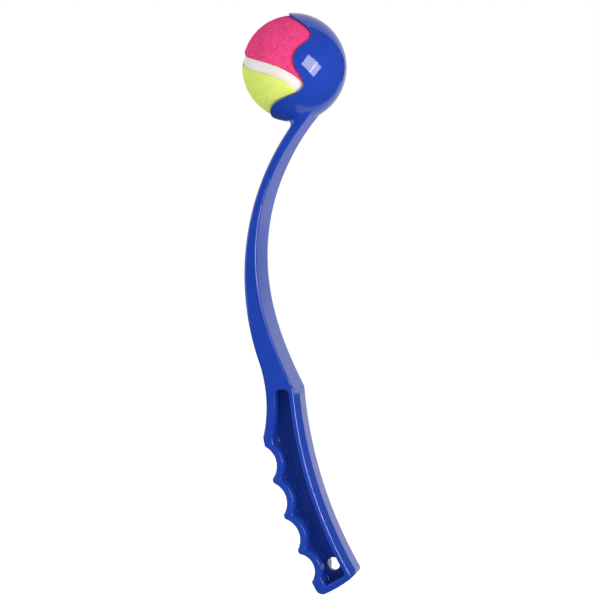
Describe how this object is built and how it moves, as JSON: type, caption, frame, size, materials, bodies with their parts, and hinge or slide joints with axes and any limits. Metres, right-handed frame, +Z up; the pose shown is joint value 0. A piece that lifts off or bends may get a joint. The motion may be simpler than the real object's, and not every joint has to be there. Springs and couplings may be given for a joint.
{
  "type": "dog ball throwing stick",
  "caption": "Hand-held throwing stick with a claw cup that holds a tennis ball, a curved shaft and a finger-grooved grip with a hang hole.",
  "frame": {"origin": "centre of the hang hole in the grip's web, on the plane that halves the stick", "axes": "+Z up the stick towards the ball, +X towards the back of the grip where the palm rests, +Y across the stick along the hang hole"},
  "size_m": [0.0715, 0.0634, 0.3575],
  "materials": {
    "blue_plastic": "glossy royal blue injection moulding",
    "core_rubber": "plain dark moulded rubber, out of sight",
    "pink_felt": "short dense felt nap",
    "yellow_green_felt": "short dense felt nap",
    "seam_rubber": "smooth off-white seam, slightly sunk"
  },
  "bodies": {
    "wand": {"launcher_wand": "blue_plastic"},
    "ball": {"ball_core_half_1": "core_rubber", "ball_core_half_2": "core_rubber", "pink_felt_panel": "pink_felt", "yellow_green_felt_panel": "yellow_green_felt", "ball_seam": "seam_rubber"}
  },
  "joints": [
    {"name": "ball_release", "type": "slide", "parent": "wand", "child": "ball", "axis": [-0.9848, 0, 0.1736], "range_m": [0, 0.08]}
  ]
}
